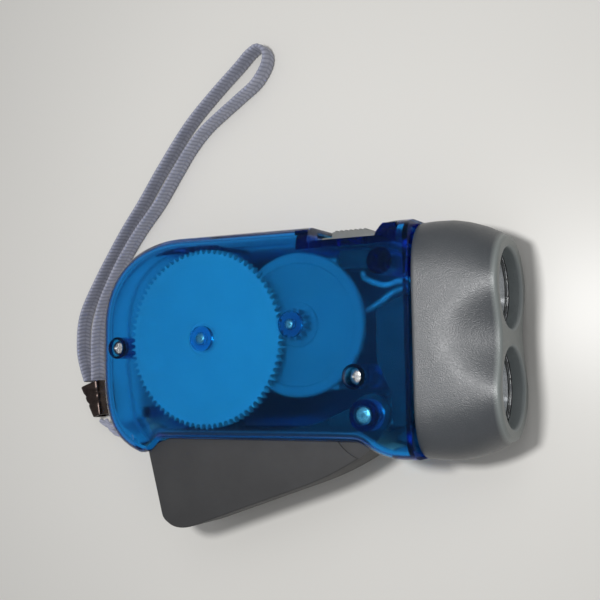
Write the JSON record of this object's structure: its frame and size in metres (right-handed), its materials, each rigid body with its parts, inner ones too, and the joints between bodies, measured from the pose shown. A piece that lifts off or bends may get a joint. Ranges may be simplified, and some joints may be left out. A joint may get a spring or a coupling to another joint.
{
  "type": "hand crank flashlight",
  "caption": "Hand-cranked flashlight: a sprung squeeze lever drives a gear train and a flywheel generator in a see-through case, with a lamp head, thumb switch, lever lock and wrist strap.",
  "frame": {"origin": "under the drive gear's axis, on the flat back face that the flashlight lies on", "axes": "+X to the lamps, +Y to the thumb switch, +Z from the flat back face up through the front face"},
  "size_m": [0.1257, 0.1222, 0.024],
  "materials": {
    "case_blue": "polished, see-through",
    "bezel_grey": "satin with a fine metallic fleck",
    "lever_grey": "fine matte texture",
    "switch_grey": "matte, ribbed",
    "nylon_white": "milky, slightly see-through",
    "steel": "bright",
    "cell_steel": "satin",
    "ferrite": "dull, sintered",
    "copper_wire": "enamelled copper",
    "reflector_chrome": "mirror",
    "lens_clear": "clear",
    "black_plastic": "matte",
    "board_green": "solder mask",
    "lead_light": "soft insulation",
    "lead_red": "soft insulation",
    "strap_fabric": "woven",
    "ferrule_metal": "dark plated"
  },
  "bodies": {
    "case": {"back_shell": "case_blue", "front_shell": "case_blue", "head_bezel": "bezel_grey", "stator_bobbin": "nylon_white", "gear_axle": "steel", "rotor_axle": "steel", "lever_pin": "steel", "tail_screw": "steel", "head_screw": "steel", "lever_spring": "steel", "upper_core": "steel", "lower_core": "steel", "switch_body": "steel", "coin_cell_1": "cell_steel", "coin_cell_2": "cell_steel", "upper_coil": "copper_wire", "lower_coil": "copper_wire", "upper_reflector": "reflector_chrome", "lower_reflector": "reflector_chrome", "lens_plate": "lens_clear", "upper_led": "lens_clear", "lower_led": "lens_clear", "cell_tray": "black_plastic", "lamp_housing": "black_plastic", "led_board": "board_green", "lamp_lead": "lead_light", "switch_lead": "lead_light", "cell_lead": "lead_red", "strap_braid": "strap_fabric", "strap_tether": "strap_fabric", "strap_ferrule": "ferrule_metal"},
    "lever": {"squeeze_lever": "lever_grey"},
    "pinion": {"drive_pinion": "nylon_white"},
    "gear": {"drive_gear": "nylon_white", "clutch_pawl_1": "steel", "clutch_pawl_2": "steel"},
    "rotor": {"flywheel": "nylon_white", "ring_magnet": "ferrite"},
    "switch": {"switch_slider": "switch_grey"},
    "lock": {"lever_lock": "switch_grey"}
  },
  "joints": [
    {"name": "lever_hinge", "type": "hinge", "parent": "case", "child": "lever", "pos_m": [0.0421, -0.018, 0.012], "axis": [0, 0, -1], "range_deg": [0, 19.3], "deforming": ["lever_spring"]},
    {"name": "pinion_spin", "type": "hinge", "parent": "case", "child": "pinion", "pos_m": [0, 0, 0.011], "axis": [0, 0, 1], "range_deg": [0, 170]},
    {"name": "gear_spin", "type": "hinge", "parent": "case", "child": "gear", "pos_m": [0, 0, 0.018], "axis": [0, 0, 1], "range_deg": [0, 170]},
    {"name": "rotor_spin", "type": "hinge", "parent": "case", "child": "rotor", "pos_m": [0.02412, 0.00249, 0.012], "axis": [0, 0, 1], "range_deg": [-1064.8, 0], "stiffness_Nm_per_rad": 0.0001, "springref_deg": 1105.81},
    {"name": "switch_slide", "type": "slide", "parent": "case", "child": "switch", "axis": [-1, 0, 0], "range_m": [0, 0.0022]},
    {"name": "lock_slide", "type": "slide", "parent": "case", "child": "lock", "axis": [-1, 0, 0], "range_m": [0, 0.003]}
  ],
  "couplings": [
    {"joint": "lever_hinge", "follows": "rotor_spin", "ratio": -0.018124},
    {"joint": "pinion_spin", "follows": "rotor_spin", "ratio": -0.15476},
    {"joint": "gear_spin", "follows": "rotor_spin", "ratio": -0.15476}
  ]
}
